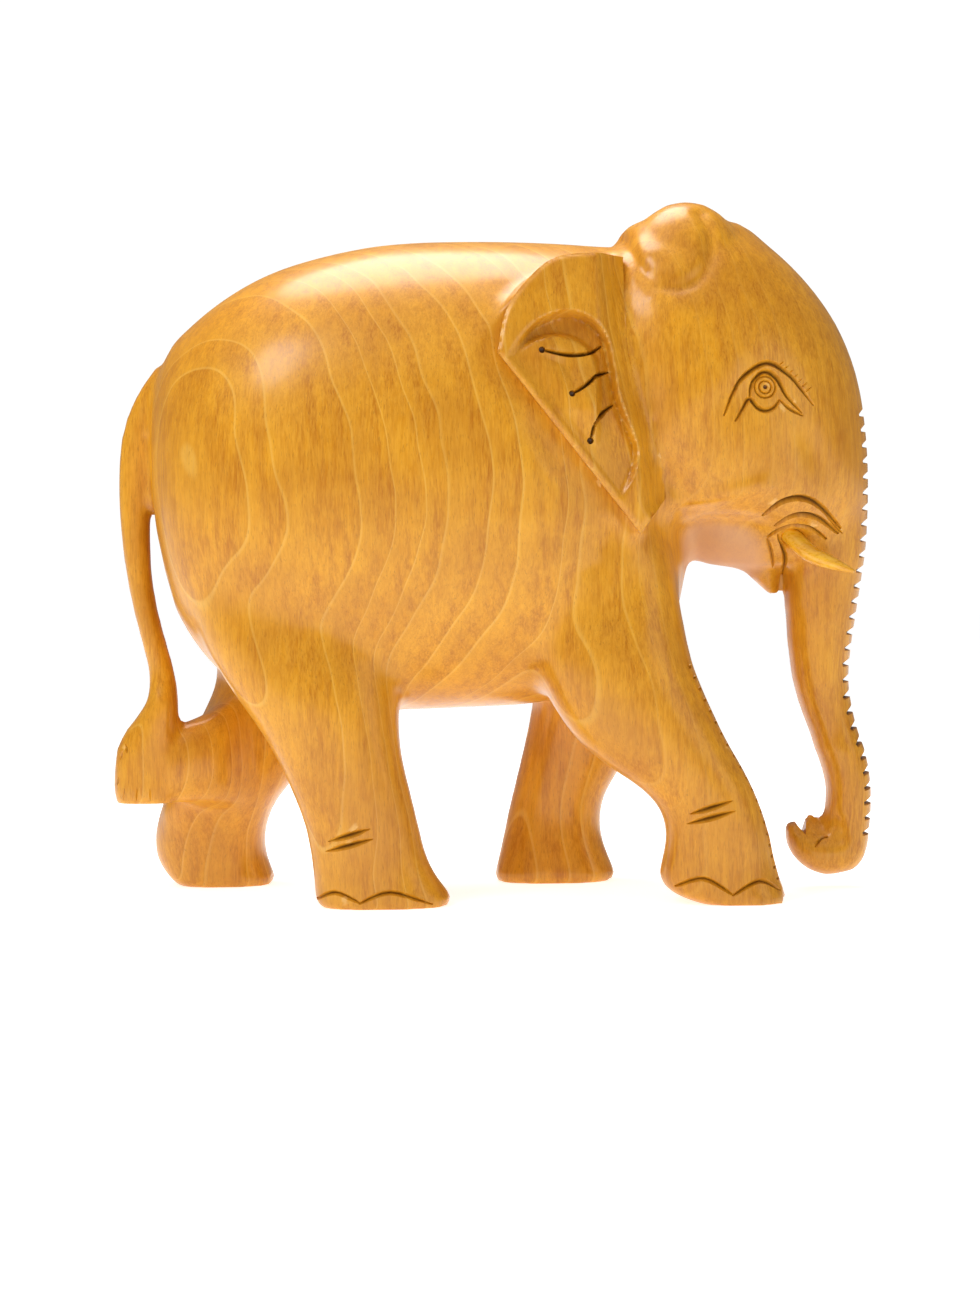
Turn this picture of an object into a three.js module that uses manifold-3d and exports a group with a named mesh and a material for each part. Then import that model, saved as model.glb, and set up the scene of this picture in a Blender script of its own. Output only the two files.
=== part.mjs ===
// A striding elephant carved from one block of pale hardwood, with two tusks glued into drilled sockets.
// Millimetres, +Z up. +X runs from the tail to the trunk, and the elephant's right side faces -Y.
// The origin lies on the ground, under the middle of the carving.
import * as THREE from "three";
import { mergeVertices } from "three/addons/utils/BufferGeometryUtils.js";
import Module from "manifold-3d";

const wasm = await Module();
wasm.setup();

// ---- Driving dimensions -------------------------------------------------------------------------------

const bodyLength = 100; // rump to chest
const bodyDepth = 86.5; // belly to back
const bodyWidth = 60; // across the flanks
const legLength = 34.5; // ground to belly
const headHeight = 66; // jaw to the top of the domes
const headWidth = 43; // across the cheeks, at the eyes
const domeRadius = 9.5; // each of the two lobes on the crown
const domeSpacing = 15; // between the lobes' centres

const footSpread = 35; // between the middles of a left and a right foot
const footWidth = 15.5; // across one sole
const thighWidth = 19; // across the top of one leg
const thighSpread = 55; // across a left and a right thigh, outside to outside

const trunkWidth = 17.5; // across the trunk where it leaves the face
const trunkClearance = 2.4; // ground to the lowest point of the curled trunk
const tailWidth = 6; // across the tail
const tuftWidth = 9; // across the tuft at the tail's end

const earThickness = 13; // outer face to the wood that the ear grows from
const earSpread = 62; // across both ears at their rear edges
const earHollowDepth = 3; // how far the hollow is cut into an ear where it is deepest

const tuskRadius = 1.7; // where a tusk enters the cheek
const tuskTipRadius = 0.4;
const tuskReach = 13; // length that shows
const tuskPeg = 8; // length glued into the cheek
const socketClearance = 0.3; // glue gap around a peg and behind it

// ---- Places worked out from them ----------------------------------------------------------------------

const rumpX = -62.5;
const chestX = rumpX + bodyLength;
const bellyZ = legLength;
const jawZ = bellyZ + 26.5; // the jaw hangs from the neck, well above the belly
const crownZ = jawZ + headHeight;
const faceX = chestX + 17; // middle of the head, front to back
const earX = chestX - 36; // rear edge of an ear
const earZ = jawZ + 5; // lowest point of an ear
const outside = 200; // a box this large reaches past the carving on every side
const finestDetail = 0.03; // slivers smaller than this are merged away

// ---- Shaping tools ------------------------------------------------------------------------------------

const yAxis = new THREE.Vector3(0, 1, 0);
const level = new THREE.Vector3(1, 0, 0);
const upright = new THREE.Vector3(0, 0, 1);

// A smooth run of stations. Each station is [x, y, z, halfA, halfB, squareness].
function fairStations(stations, ringsBetween) {
  const path = new THREE.CatmullRomCurve3(stations.map((s) => new THREE.Vector3(s[0], s[1], s[2])));
  const size = new THREE.CatmullRomCurve3(stations.map((s) => new THREE.Vector3(s[3], s[4], s[5] ?? 2)));
  path.curveType = "catmullrom";
  size.curveType = "catmullrom";
  const count = (stations.length - 1) * ringsBetween;
  return Array.from({ length: count + 1 }, (_, i) => ({
    centre: path.getPoint(i / count),
    tangent: path.getTangent(i / count),
    size: size.getPoint(i / count),
  }));
}

// Extra stations that close an end as a quarter of an ellipse, given from the tip inwards.
function roundedEnd(station, direction, length) {
  const turns = 4;
  return Array.from({ length: turns }, (_, i) => {
    const angle = ((turns - i - 0.35) / turns) * (Math.PI / 2);
    return {
      centre: station.centre.clone().addScaledVector(direction, length * Math.sin(angle)),
      tangent: station.tangent,
      size: new THREE.Vector3(
        station.size.x * Math.cos(angle),
        station.size.y * Math.cos(angle),
        station.size.z,
      ),
    };
  });
}

// A closed skin through rings of points, its ends filled with a fan each.
function skin(rings) {
  const sides = rings[0].length;
  const points = rings.flat();
  const faces = [];
  for (let r = 0; r + 1 < rings.length; r += 1) {
    for (let s = 0; s < sides; s += 1) {
      const a = r * sides + s;
      const b = r * sides + ((s + 1) % sides);
      faces.push(a, b, a + sides, b, b + sides, a + sides);
    }
  }
  for (const [ring, start, flip] of [
    [rings[0], 0, true],
    [rings.at(-1), (rings.length - 1) * sides, false],
  ]) {
    const middle = ring.reduce((sum, p) => sum.add(p), new THREE.Vector3()).divideScalar(sides);
    const hub = points.push(middle) - 1;
    for (let s = 0; s < sides; s += 1) {
      const a = start + s;
      const b = start + ((s + 1) % sides);
      faces.push(...(flip ? [b, a, hub] : [a, b, hub]));
    }
  }
  const geometry = new THREE.BufferGeometry().setFromPoints(points);
  geometry.setIndex(faces);
  return geometry;
}

// Wood swept along stations. Sections stand square to the path, as a trunk's do, unless across fixes them:
// a leg's stay level and the torso's stay upright. taper narrows each section towards its front.
function swept(stations, { sides = 20, ringsBetween = 2, across, taper = 0, roundStart = 0, roundEnd = 0 }) {
  let run = fairStations(stations, ringsBetween);
  const [start, end] = [run[0], run.at(-1)];
  if (roundStart) {
    run = [...roundedEnd(start, start.tangent.clone().negate(), roundStart), ...run];
  }
  if (roundEnd) {
    run = [...run, ...roundedEnd(end, end.tangent, roundEnd).reverse()];
  }
  const rings = run.map(({ centre, tangent, size }) => {
    const first = across ?? new THREE.Vector3().crossVectors(yAxis, tangent).normalize();
    const second = across ? yAxis : new THREE.Vector3().crossVectors(tangent, first).normalize();
    return Array.from({ length: sides }, (_, i) => {
      const angle = (i / sides) * Math.PI * 2;
      const c = Math.cos(angle);
      const s = Math.sin(angle);
      const power = 2 / size.z;
      return centre
        .clone()
        .addScaledVector(first, size.x * Math.sign(c) * Math.abs(c) ** power)
        .addScaledVector(second, size.y * (1 - taper * c) * Math.sign(s) * Math.abs(s) ** power);
    });
  });
  return solid(skin(rings));
}

// A three.js geometry as a solid, turned the right way out.
function solid(geometry) {
  const bare = geometry.clone();
  bare.deleteAttribute("normal");
  bare.deleteAttribute("uv");
  const merged = mergeVertices(bare, 1e-4);
  const vertProperties = merged.attributes.position.array;
  const triVerts = new Uint32Array(merged.index.array);
  const corner = (i) => new THREE.Vector3().fromArray(vertProperties, 3 * triVerts[i]);
  let volume = 0;
  for (let i = 0; i < triVerts.length; i += 3) {
    volume += corner(i).dot(corner(i + 1).cross(corner(i + 2)));
  }
  if (volume < 0) triVerts.reverse();
  return new wasm.Manifold(new wasm.Mesh({ numProp: 3, vertProperties, triVerts }));
}

function geometryOf(manifold) {
  const mesh = manifold.getMesh();
  const geometry = new THREE.BufferGeometry();
  geometry.setAttribute("position", new THREE.BufferAttribute(new Float32Array(mesh.vertProperties), 3));
  geometry.setIndex(new THREE.BufferAttribute(new Uint32Array(mesh.triVerts), 1));
  geometry.computeVertexNormals();
  return geometry;
}

function joined(pieces) {
  return pieces.reduce((whole, piece) => whole.add(piece));
}

// A level slice through a limb, from its rear and front edge and its inner and outer face.
function slice(z, rear, front, inner, outer, side, squareness = 2.7) {
  return [
    (rear + front) / 2,
    (side * (inner + outer)) / 2,
    z,
    (front - rear) / 2,
    (outer - inner) / 2,
    squareness,
  ];
}

// ---- Torso --------------------------------------------------------------------------------------------

// Each row is [share of the length, share of the depth at the bottom, the same at the top,
// share of the width].
const torsoLines = [
  [0.012, 0.36, 0.72, 0.32],
  [0.045, 0.21, 0.79, 0.56],
  [0.105, 0.1, 0.855, 0.76],
  [0.185, 0.03, 0.915, 0.89],
  [0.275, 0.0, 0.957, 0.967],
  [0.425, -0.005, 0.994, 1.0],
  [0.575, 0.0, 1.0, 1.0],
  [0.705, 0.006, 0.997, 0.96],
  [0.805, 0.03, 0.99, 0.86],
  [0.885, 0.07, 0.975, 0.74],
  [0.95, 0.15, 0.92, 0.6],
];

function torso() {
  const stations = torsoLines.map(([at, low, high, width]) => [
    rumpX + at * bodyLength,
    0,
    bellyZ + ((low + high) / 2) * bodyDepth,
    ((high - low) / 2) * bodyDepth,
    (width * bodyWidth) / 2,
    2.3,
  ]);
  const startRound = torsoLines[0][0] * bodyLength;
  const endRound = (1 - torsoLines.at(-1)[0]) * bodyLength;
  return swept(stations, { sides: 36, across: upright, roundStart: startRound, roundEnd: endRound });
}

// ---- Legs ---------------------------------------------------------------------------------------------

// Each row is [share of the leg's length, rear edge, front edge, width over the foot's, squareness].
// Edges are measured from the rump for a hind leg, and back from the chest for a front leg.
const hindForward = [
  [0.0, 31.0, 54.5, 1.0, 2.8],
  [0.05, 30.2, 55.0, 1.02, 2.8],
  [0.14, 29.8, 52.6, 1.0, 2.7],
  [0.24, 29.5, 50.8, 0.94, 2.6],
  [0.41, 28.7, 49.5, 0.92, 2.6],
  [0.6, 26.3, 48.0, 0.96, 2.6],
  [0.76, 23.8, 46.6, 1.02, 2.5],
  [0.93, 20.4, 46.0, 1.1, 2.4],
  [1.1, 16.0, 46.0, 1.2, 2.3],
  [1.35, 10.5, 45.0, 1.25, 2.3],
  [1.65, 7.5, 42.0, 1.1, 2.2],
];
const hindBack = [
  [0.0, 1.2, 20.0, 1.0, 2.8],
  [0.06, -0.8, 20.0, 1.02, 2.8],
  [0.14, -3.4, 18.8, 1.02, 2.7],
  [0.24, -3.6, 18.1, 1.06, 2.7],
  [0.35, -3.0, 18.8, 1.14, 2.7],
  [0.46, -1.6, 20.4, 1.24, 2.7],
  [0.6, 0.4, 24.5, 1.3, 2.7],
  [0.78, 3.0, 29.5, 1.3, 2.6],
  [0.95, 6.2, 33.5, 1.3, 2.5],
  [1.15, 9.5, 36.5, 1.28, 2.4],
  [1.4, 9.0, 38.5, 1.22, 2.3],
  [1.65, 9.0, 38.0, 1.1, 2.2],
];
const frontForward = [
  [0.0, -1.0, 14.8, 1.0, 2.8],
  [0.04, -4.8, 15.0, 1.02, 2.8],
  [0.12, -8.8, 13.9, 1.0, 2.7],
  [0.24, -7.4, 12.8, 0.95, 2.6],
  [0.36, -6.5, 12.1, 0.92, 2.6],
  [0.46, -7.2, 11.2, 0.93, 2.6],
  [0.54, -9.0, 10.2, 0.95, 2.6],
  [0.62, -12.2, 9.1, 0.98, 2.6],
  [0.72, -17.6, 7.3, 1.02, 2.5],
  [0.84, -22.6, 4.9, 1.08, 2.5],
  [1.02, -26.8, 2.0, 1.15, 2.4],
  [1.25, -30.2, -1.2, 1.22, 2.3],
  [1.55, -30.0, -3.0, 1.25, 2.3],
  [1.9, -26.0, -5.0, 1.1, 2.2],
];
const frontBack = [
  [0.0, -37.0, -14.5, 1.0, 2.8],
  [0.05, -37.5, -13.7, 1.02, 2.8],
  [0.14, -36.8, -15.0, 1.0, 2.7],
  [0.25, -35.9, -16.4, 0.94, 2.6],
  [0.37, -35.1, -16.6, 0.92, 2.6],
  [0.48, -34.0, -15.6, 0.95, 2.6],
  [0.6, -33.0, -13.0, 0.98, 2.6],
  [0.76, -31.6, -9.4, 1.02, 2.5],
  [0.95, -30.2, -5.8, 1.1, 2.4],
  [1.2, -29.0, -2.8, 1.2, 2.3],
  [1.5, -28.0, -1.6, 1.25, 2.3],
  [1.8, -26.0, -3.0, 1.1, 2.2],
];

function leg(rows, fromX, side) {
  const top = rows.at(-1)[0];
  const stations = rows.map(([height, rear, front, width, squareness]) => {
    // The outer face leans out as far as the belly, then in again so that it dies into the flank.
    const leansOut = THREE.MathUtils.smoothstep(height, 0, 1.1);
    const fallsIn = 1.6 * THREE.MathUtils.smoothstep(height, 1.1, top);
    const lean = leansOut - fallsIn;
    const outer = THREE.MathUtils.lerp((footSpread + footWidth) / 2, thighSpread / 2, lean);
    const thick = width * THREE.MathUtils.lerp(footWidth, thighWidth, height / top);
    return slice(height * legLength, fromX + rear, fromX + front, outer - thick, outer, side, squareness);
  });
  return swept(stations, { sides: 16, ringsBetween: 1, across: level, roundEnd: thighWidth / 4 });
}

// ---- Tail ---------------------------------------------------------------------------------------------

// Each row is [share of the drop from the rump's top to the tuft, distance from the rump, half depth].
const tailLines = [
  [0.0, 2.0, 1.6],
  [0.08, -0.7, 2.9],
  [0.17, -2.6, 3.4],
  [0.27, -3.5, 3.1],
  [0.37, -3.6, 2.8],
  [0.48, -3.1, 2.4],
  [0.58, -1.9, 2.2],
  [0.67, -0.2, 2.2],
  [0.74, 1.0, 2.4],
  [0.81, 1.0, 3.0],
  [0.87, -0.4, 4.4],
  [0.93, -1.9, 5.9],
  [1.0, -2.3, 6.1],
];
const tailTopZ = bellyZ + 0.73 * bodyDepth;
const tuftZ = legLength * 0.62; // middle of the tuft
const tuftFootZ = tuftZ - 4;

function tail() {
  const stations = tailLines.map(([drop, out, half]) => {
    const width = drop < 0.81 ? tailWidth : tuftWidth;
    return [rumpX + out, 0, THREE.MathUtils.lerp(tailTopZ, tuftZ, drop), half, width / 2, 2.3];
  });
  const brush = [
    stations.at(-1),
    [rumpX - 2.3, 0, (tuftZ + tuftFootZ) / 2, 6.0, tuftWidth / 2, 2.5],
    [rumpX - 2.2, 0, tuftFootZ, 5.6, tuftWidth / 2, 2.6],
  ];
  // The wood left between the tuft and the hind leg beside it, which keeps the thin tail from snapping.
  // Each row is [distance from the rump, lowest, highest, near face, far face].
  // Heights are from the tuft's middle.
  const legFace = (footSpread - footWidth) / 2;
  const bridge = [
    [-4, -3.8, 5, -4, 4],
    [0, -4, 8, -3.9, 5],
    [5, -4.4, 11, -3.4, legFace],
    [10, -5.2, 13.5, -2.4, legFace + 3],
    [14, -6, 16, -0.2, legFace + 5],
    [17.5, -6, 17.5, 5.5, legFace + 6],
  ].map(([out, low, high, near, far]) => {
    const centre = [rumpX + out, (near + far) / 2, tuftZ + (low + high) / 2];
    return [...centre, (high - low) / 2, (far - near) / 2, 2.6];
  });
  return joined([
    swept(stations, { sides: 12, roundStart: 1 }),
    swept(brush, { sides: 16, across: level }),
    swept(bridge, { sides: 16, across: upright }),
  ]);
}

// ---- Head and trunk -----------------------------------------------------------------------------------

// Each row is [share of the head's height, rear edge from the face's middle, front edge,
// share of the width].
const headLines = [
  [0.0, -15.0, 14.8, 0.32],
  [0.03, -18.0, 15.4, 0.43],
  [0.09, -22.0, 15.8, 0.6],
  [0.17, -26.0, 16.0, 0.88],
  [0.29, -30.5, 15.9, 0.98],
  [0.42, -34.0, 15.2, 1.0],
  [0.54, -36.0, 13.6, 1.0],
  [0.66, -36.0, 10.4, 0.95],
  [0.76, -35.0, 6.0, 0.86],
  [0.84, -33.0, 1.2, 0.78],
  [0.91, -30.0, -4.0, 0.6],
];

const headTaper = 0.24; // the face is narrower than the back of the head
const crownRound = 4;

function head() {
  const stations = headLines.map(([height, rear, front, width]) => [
    faceX + (rear + front) / 2,
    0,
    jawZ + height * headHeight,
    (front - rear) / 2,
    (width * headWidth) / 2,
    2.4,
  ]);
    const shape = { sides: 28, across: level, taper: headTaper, roundStart: 1.2, roundEnd: crownRound };
    const skull = swept(stations, shape);
  const domes = [-1, 1].map((side) => {
    const lobe = new THREE.SphereGeometry(1, 20, 12);
    lobe.scale(11, domeRadius, 12.5);
    lobe.translate(faceX - 18.2, (side * domeSpacing) / 2, crownZ - 12.5);
    return solid(lobe);
  });
  // The pointed lower lip hangs behind the trunk.
  const lip = swept(
    [
      [faceX - 7.5, 0, jawZ + 4, 6.5, 6.5],
      [faceX - 5.0, 0, jawZ + 0.5, 4.6, 5.5],
      [faceX - 3.3, 0, jawZ - 3, 2.4, 3.6],
      [faceX - 2.3, 0, jawZ - 5.6, 0.7, 1.6],
    ],
    { sides: 14, across: level, roundEnd: 0.7 },
  );
  return joined([skull, ...domes, lip]);
}

// Each row is [distance from the face's middle, share of the drop from the jaw, half depth,
// share of the width].
const trunkLines = [
  [7.0, -0.35, 8.4, 1.04],
  [8.1, -0.17, 7.8, 1.05],
  [8.0, -0.04, 7.5, 1.0],
  [7.4, 0.1, 7.1, 0.92],
  [6.8, 0.25, 6.4, 0.83],
  [6.8, 0.4, 5.5, 0.76],
  [8.4, 0.53, 4.8, 0.7],
  [10.6, 0.65, 4.4, 0.67],
  [11.9, 0.76, 4.2, 0.65],
  [11.8, 0.86, 4.3, 0.63],
];

function trunk() {
  const bend = 4.3; // half depth of the trunk where it curls
  const bendZ = trunkClearance + bend;
  const drop = (share) => THREE.MathUtils.lerp(jawZ, bendZ, share);
  const stations = trunkLines.map(([out, share, half, width]) => [
    faceX + out,
    0,
    drop(share),
    half,
    (width * trunkWidth) / 2,
    2.3,
  ]);
  const hanging = swept(
    [...stations, [faceX + 11.2, 0, bendZ + 2, bend, 0.31 * trunkWidth, 2.2]],
    { sides: 16, roundEnd: bend + 1.6 },
  );
  // The tip turns back under the trunk and up again.
  const tip = swept(
    [
      [faceX + 11.4, 0, bendZ + 0.6, 4.1, 0.31 * trunkWidth, 2.2],
      [faceX + 7.6, 0, bendZ, bend, 0.3 * trunkWidth, 2.2],
      [faceX + 4.6, 0, bendZ + 0.7, 3.4, 0.27 * trunkWidth, 2.2],
      [faceX + 2.5, 0, bendZ + 2.7, 2.5, 0.24 * trunkWidth, 2.1],
      [faceX + 1.5, 0, bendZ + 4.8, 1.6, 0.19 * trunkWidth, 2],
    ],
    { sides: 16, roundEnd: 1.2 },
  );
  // The upper finger leaves a small mouth between itself and the tip.
  const finger = swept(
    [
      [faceX + 6.2, 0, bendZ + 0.5, 2.6, 3.4],
      [faceX + 5.3, 0, bendZ + 4, 1.7, 2.6],
      [faceX + 4.7, 0, bendZ + 6.7, 0.7, 1.5],
    ],
    { sides: 12, roundEnd: 0.6 },
  );
  return joined([hanging, tip, finger]);
}

// ---- Ears ---------------------------------------------------------------------------------------------

function earOutline() {
  const top = earZ + 49;
  const outline = new THREE.Shape();
  outline.moveTo(earX + 23, top);
  outline.lineTo(earX + 12, top - 0.6);
  outline.bezierCurveTo(earX + 4.5, top - 3, earX - 0.5, top - 10, earX, top - 18);
  outline.lineTo(earX + 25, earZ);
  outline.lineTo(earX + 29.5, earZ + 4.5);
  outline.bezierCurveTo(earX + 26, earZ + 18, earX + 22, earZ + 30, earX + 23, top);
  return outline;
}

const earYaw = 12;
const earLean = 6;

// Leans an upright plate drawn on the elephant's right side.
// Its top and its front edge turn towards the head.
function leaned(geometry) {
  const pivot = new THREE.Vector3(earX, -earSpread / 2, earZ + 16);
  return geometry
    .translate(-pivot.x, -pivot.y, -pivot.z)
    .rotateZ(THREE.MathUtils.degToRad(earYaw))
    .rotateX(THREE.MathUtils.degToRad(-earLean))
    .translate(pivot.x, pivot.y, pivot.z);
}

function ear(side) {
  const bevel = 0.9;
  const plate = new THREE.ExtrudeGeometry(earOutline(), {
    depth: earThickness - 2 * bevel,
    bevelThickness: bevel,
    bevelSize: bevel,
    bevelOffset: -bevel,
    bevelSegments: 1,
    curveSegments: 8,
  });
  plate.rotateX(Math.PI / 2).translate(0, earThickness - bevel - earSpread / 2, 0);
  leaned(plate);
  return solid(plate.scale(1, -side, 1));
}

// The ear's inside: a floor that starts at the ear's straight lower edge and falls away to a wall under the
// ear's rim and along its front.
function earHollow(side) {
  const outline = new THREE.Shape();
  outline.moveTo(earX - 5, earZ + 33);
  outline.bezierCurveTo(earX + 4, earZ + 32, earX + 6, earZ + 39.2, earX + 13, earZ + 39.2);
  outline.bezierCurveTo(earX + 20, earZ + 39.2, earX + 21.4, earZ + 34, earX + 20.6, earZ + 24);
  outline.bezierCurveTo(earX + 24.6, earZ + 19, earX + 24.6, earZ + 14, earX + 21.6, earZ + 4.2);
  outline.lineTo(earX + 17, earZ - 2);
  outline.lineTo(earX - 12, earZ + 28);
  const depth = { depth: earThickness, bevelEnabled: false, curveSegments: 7 };
  const cut = new THREE.ExtrudeGeometry(outline, depth);
  cut.rotateX(Math.PI / 2).translate(0, -earSpread / 2, 0);
  const lip = 1.5; // wood left uncut along the straight edge
  const span = 17; // from there to the far wall
  const points = cut.attributes.position;
  for (let i = 0; i < points.count; i += 1) {
    const fromEdge = (points.getX(i) - earX) * 0.78 + (points.getZ(i) - earZ - 31) * 0.63 - lip;
    points.setY(i, points.getY(i) + (earHollowDepth * fromEdge) / span);
  }
  leaned(cut);
  return solid(cut.scale(1, -side, 1));
}

// ---- Tusks and their sockets --------------------------------------------------------------------------

// A tusk is a straight glued peg that carries on as a short curved horn.
// grow is added all round for the socket.
function tuskSolid(side, grow = 0) {
  const entry = new THREE.Vector3(faceX + 0.9, 9.8, jawZ + 4.2);
  const outward = new THREE.Vector3(0.62, 0.42, -0.66).normalize();
  const forward = new THREE.Vector3(0.86, 0.36, -0.36).normalize();
  const inside = (distance) => entry.clone().addScaledVector(outward, -distance);
  const knee = inside(-0.36 * tuskReach);
  const beyond = (share) => knee.clone().addScaledVector(forward, share * tuskReach);
  const rows = [
    [inside(tuskPeg + grow), 0.88 * tuskRadius],
    [inside(tuskPeg / 2), 0.94 * tuskRadius],
    [entry, tuskRadius],
    [inside(-0.3 * tuskReach), 0.96 * tuskRadius],
    [beyond(0.2), 0.82 * tuskRadius],
    [beyond(0.43), 0.56 * tuskRadius],
    [beyond(0.64), tuskTipRadius],
  ];
  const stations = rows.map(([p, radius]) => [p.x, side * p.y, p.z, radius + grow, radius + grow]);
  return swept(stations, { sides: 14, roundEnd: tuskTipRadius + grow });
}

// ---- The carving --------------------------------------------------------------------------------------

function carvedBody() {
  const right = -1;
  const left = 1;
  const rough = joined([
    torso(),
    leg(hindForward, rumpX, right),
    leg(hindBack, rumpX, left),
    leg(frontForward, chestX, right),
    leg(frontBack, chestX, left),
    tail(),
    head(),
    trunk(),
    ear(right),
    ear(left),
  ]);
  const slab = new THREE.BoxGeometry(outside * 2, outside * 2, outside);
  const ground = solid(slab.translate(0, 0, -outside / 2));
  return [earHollow(right), earHollow(left), tuskSolid(right, socketClearance), tuskSolid(left, socketClearance)]
    .reduce((wood, cut) => wood.subtract(cut), rough)
    .subtract(ground)
    .asOriginal()
    .simplify(finestDetail);
}

const wood = new THREE.MeshStandardMaterial({ name: "wood", color: 0xc98a3c, roughness: 0.42, metalness: 0 });
const ivory = new THREE.MeshStandardMaterial({ name: "tusk", color: 0xd99a1e, roughness: 0.35, metalness: 0 });

const elephant = new THREE.Group();
const pieces = [
  ["carved_body", carvedBody(), wood],
  ["tusk_right", tuskSolid(-1), ivory],
  ["tusk_left", tuskSolid(1), ivory],
];
for (const [name, shape, material] of pieces) {
  const mesh = new THREE.Mesh(geometryOf(shape), material);
  mesh.name = name;
  elephant.add(mesh);
}

// The origin goes under the middle of the carving.
const box = new THREE.Box3().setFromObject(elephant);
const middle = box.getCenter(new THREE.Vector3());
elephant.position.set(-middle.x, -middle.y, 0);

export default elephant;
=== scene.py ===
# %% [markdown]
# # A carved wooden elephant
# The real object is one block of pale hardwood, cut with a saw, gouges and a knife, sanded, and given a
# honey-coloured lacquer. Two small tusks are glued into the cheeks. The CAD model holds its form: torso, legs,
# tail, head, trunk and hollowed ears. This lesson gives it what the carver's hand leaves: softened transitions,
# crisp knife cuts, and wood with a grain that runs through the whole block.

# %% Load the frame
import math

import bmesh
import bpy
import numpy as np
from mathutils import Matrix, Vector
from mathutils.bvhtree import BVHTree


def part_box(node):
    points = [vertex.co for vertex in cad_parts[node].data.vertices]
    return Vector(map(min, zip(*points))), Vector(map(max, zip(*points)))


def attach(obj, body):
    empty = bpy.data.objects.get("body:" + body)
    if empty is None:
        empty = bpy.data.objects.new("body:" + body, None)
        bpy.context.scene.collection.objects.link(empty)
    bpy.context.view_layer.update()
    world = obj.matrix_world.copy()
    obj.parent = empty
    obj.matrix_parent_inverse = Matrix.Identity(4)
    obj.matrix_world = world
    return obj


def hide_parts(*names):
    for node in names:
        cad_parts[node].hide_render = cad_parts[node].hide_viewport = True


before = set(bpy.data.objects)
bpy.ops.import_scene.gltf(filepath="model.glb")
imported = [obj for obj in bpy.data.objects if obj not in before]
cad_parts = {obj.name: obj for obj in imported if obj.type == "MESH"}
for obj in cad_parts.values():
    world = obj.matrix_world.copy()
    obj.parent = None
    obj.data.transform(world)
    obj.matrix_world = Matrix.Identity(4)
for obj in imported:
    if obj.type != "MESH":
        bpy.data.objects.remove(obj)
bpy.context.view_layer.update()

low, high = (Vector(corner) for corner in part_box("carved_body"))
unit = (high.z - low.z) / 127
print(f"the carving is {1000 * (high.x - low.x):.0f} mm long and {1000 * (high.z - low.z):.0f} mm high")

# %% [markdown]
# ## Measuring on the carving
# A carver marks out details on the block's side, so this lesson does too. A mark is two numbers: how far back
# from the foremost point of the carving and how far up from the ground, in units of 1/127 of its height, which
# is one millimetre at this size. The marks themselves are given one by one. A mark is then dropped onto the
# wood from one side, so that every cut lies on the surface whatever its curve.


# %% Drop marks onto the surface
def surface_of(obj):
    graph = bpy.context.evaluated_depsgraph_get()
    return BVHTree.FromObject(obj, graph)


def mark(tree, back, up, side):
    """The point and normal under a mark, seen from one side (-1 is the elephant's right)."""
    start = Vector((high.x - back * unit, side * 100 * unit, low.z + up * unit))
    point, normal, _, _ = tree.ray_cast(start, Vector((0, -side, 0)))
    return point, normal


def fair_line(marks, steps):
    """More marks between a few, on a smooth curve through them."""
    if len(marks) == 2:
        (a, b) = marks
        shares = [i / steps for i in range(steps + 1)]
        return [(a[0] + (b[0] - a[0]) * share, a[1] + (b[1] - a[1]) * share) for share in shares]
    ends = [marks[0], *marks, marks[-1]]
    line = []
    for i in range(len(marks) - 1):
        p0, p1, p2, p3 = (Vector(m) for m in ends[i : i + 4])
        for j in range(steps):
            t = j / steps
            line.append(
                0.5 * (2 * p1 + (p2 - p0) * t + (2 * p0 - 5 * p1 + 4 * p2 - p3) * t**2
                       + (3 * p1 - p0 - 3 * p2 + p3) * t**3)
            )
    line.append(Vector(marks[-1]))
    return [tuple(p) for p in line]


def on_surface(tree, marks, side, steps=6):
    """The points and normals of a smooth line through the marks, laid on the wood."""
    found = [mark(tree, back, up, side) for back, up in fair_line(marks, steps)]
    return [(point, normal) for point, normal in found if point is not None]


# %% [markdown]
# ## The block, roughed out and sanded
# The CAD solid has creases where a leg meets the flank or the trunk meets the face. On the real carving a
# gouge and sandpaper turned those into soft transitions. A voxel remesh gives an even skin to work on, and a
# masked smoothing plays the sandpaper: long strokes on the big forms, light ones on ears, tail and feet. A
# subdivision surface would smooth everything alike, and would lose the ears' edges.


# %% Remesh and sand
def apply_modifiers(obj):
    graph = bpy.context.evaluated_depsgraph_get()
    mesh = bpy.data.meshes.new_from_object(obj.evaluated_get(graph))
    obj.modifiers.clear()
    old = obj.data
    obj.data = mesh
    bpy.data.meshes.remove(old)


def copy_of(node, name):
    obj = bpy.data.objects.new(name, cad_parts[node].data.copy())
    bpy.context.collection.objects.link(obj)
    obj.data.materials.clear()
    return obj


def coords(mesh):
    flat = np.empty(3 * len(mesh.vertices))
    mesh.vertices.foreach_get("co", flat)
    return flat.reshape(-1, 3)


def normals(mesh):
    flat = np.empty(3 * len(mesh.vertices))
    mesh.vertices.foreach_get("normal", flat)
    return flat.reshape(-1, 3)


def set_coords(mesh, points):
    mesh.vertices.foreach_set("co", points.astype(np.float32).ravel())
    mesh.update()


def smoothstep(x, start, end):
    t = np.clip((x - start) / (end - start), 0, 1)
    return t * t * (3 - 2 * t)


def neighbours_mean(mesh):
    """A function that gives the mean of each vertex's neighbours."""
    edges = np.empty(2 * len(mesh.edges), dtype=np.int64)
    mesh.edges.foreach_get("vertices", edges)
    a, b = edges.reshape(-1, 2).T
    count = np.bincount(np.concatenate([a, b]), minlength=len(mesh.vertices))[:, None]

    def mean(points):
        total = np.zeros_like(points)
        for axis in range(3):
            total[:, axis] = np.bincount(
                np.concatenate([a, b]), weights=np.concatenate([points[b, axis], points[a, axis]]),
                minlength=len(points),
            )
        return total / count

    return mean


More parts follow.
